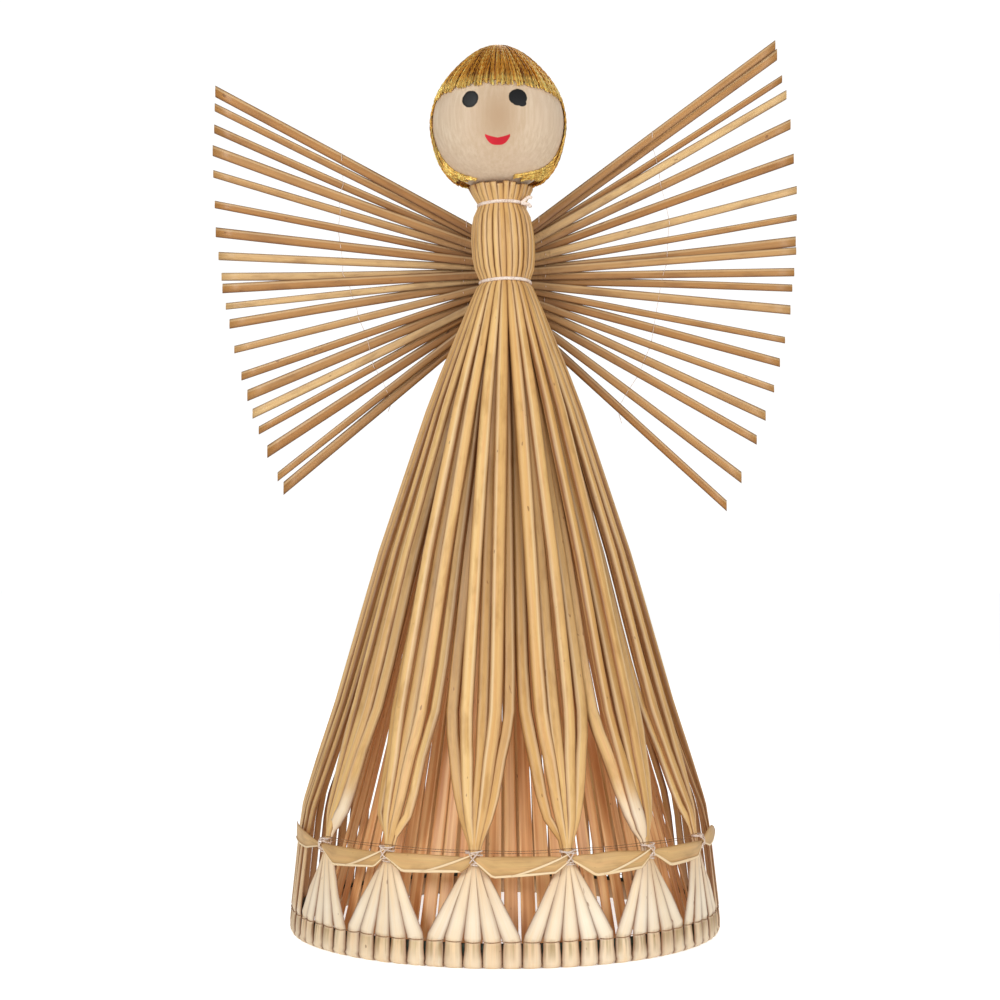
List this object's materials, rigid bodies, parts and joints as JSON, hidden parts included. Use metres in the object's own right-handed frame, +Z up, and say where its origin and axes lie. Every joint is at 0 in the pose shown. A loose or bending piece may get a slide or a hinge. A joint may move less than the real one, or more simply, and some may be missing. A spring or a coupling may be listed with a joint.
{
  "type": "straw angel ornament",
  "caption": "Standing angel of straw: wooden ball head with gold thread hair, tied straw body, bell-shaped straw skirt over a hoop, two fanned straw wings.",
  "frame": {"origin": "middle of the base, on the surface the angel stands on", "axes": "+Z up through the head, the face looks along -Y, wings along X"},
  "size_m": [0.204, 0.1444, 0.3051],
  "materials": {
    "skirt_straw": "natural pale straw, glossy skin with fine long fibres",
    "wing_straw": "natural amber-brown straw, satin",
    "ribbon_straw": "flattened pale straw, satin",
    "ball_wood": "turned bare wood, face painted by hand",
    "gold_thread": "metallic gold thread",
    "cotton": "white cotton thread",
    "hoop": "dark green, matt"
  },
  "bodies": {
    "root": {"skirt_straws_01": "skirt_straw", "skirt_straws_02": "skirt_straw", "skirt_straws_03": "skirt_straw", "skirt_straws_04": "skirt_straw", "skirt_straws_05": "skirt_straw", "skirt_straws_06": "skirt_straw", "skirt_straws_07": "skirt_straw", "skirt_straws_08": "skirt_straw", "skirt_straws_09": "skirt_straw", "skirt_straws_10": "skirt_straw", "skirt_straws_11": "skirt_straw", "skirt_straws_12": "skirt_straw", "skirt_straws_13": "skirt_straw", "skirt_straws_14": "skirt_straw", "skirt_straws_15": "skirt_straw", "inner_straws_01": "skirt_straw", "inner_straws_02": "skirt_straw", "inner_straws_03": "skirt_straw", "inner_straws_04": "skirt_straw", "inner_straws_05": "skirt_straw", "inner_straws_06": "skirt_straw", "hoop": "hoop", "ribbon": "ribbon_straw", "gathering_thread": "cotton", "neck_cord": "cotton", "waist_cord": "cotton", "head_ball": "ball_wood", "hair": "gold_thread", "wing_straw_01": "wing_straw", "wing_straw_02": "wing_straw", "wing_straw_03": "wing_straw", "wing_straw_04": "wing_straw", "wing_straw_05": "wing_straw", "wing_straw_06": "wing_straw", "wing_straw_07": "wing_straw", "wing_straw_08": "wing_straw", "wing_straw_09": "wing_straw", "wing_straw_10": "wing_straw", "wing_straw_11": "wing_straw", "wing_straw_12": "wing_straw", "wing_straw_13": "wing_straw", "wing_straw_14": "wing_straw", "wing_straw_15": "wing_straw", "wing_straw_16": "wing_straw", "wing_straw_17": "wing_straw", "wing_straw_18": "wing_straw", "wing_straw_19": "wing_straw", "wing_straw_20": "wing_straw", "wing_lace_left": "cotton", "wing_lace_right": "cotton", "wing_root_thread_left": "cotton", "wing_root_thread_right": "cotton"}
  },
  "joints": []
}
